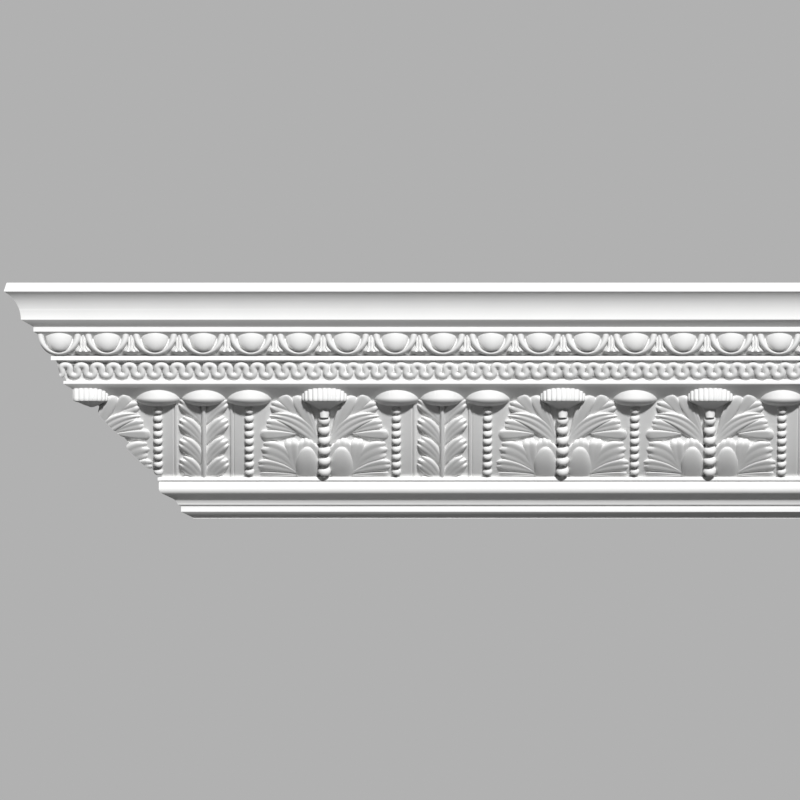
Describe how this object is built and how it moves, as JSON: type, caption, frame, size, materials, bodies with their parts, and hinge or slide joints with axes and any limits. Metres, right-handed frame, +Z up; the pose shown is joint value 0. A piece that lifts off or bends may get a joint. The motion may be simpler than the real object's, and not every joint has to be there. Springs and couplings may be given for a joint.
{
  "type": "cornice moulding length",
  "caption": "Enriched cornice moulding length with egg and dart, looped ribbon and a palmette and acanthus frieze, mitred at one end and cut square at the other.",
  "frame": {"origin": "on the flat that is fixed to the wall, in the middle of its height and halfway along the longest edge", "axes": "+X along the wall to the right as seen from the room, +Y into the wall, +Z up to the ceiling"},
  "size_m": [0.67, 0.1585, 0.198],
  "materials": {
    "moulding": "white primer on fine moulded foam, matte"
  },
  "bodies": {
    "root": {"cornice_length": "moulding"}
  },
  "joints": []
}
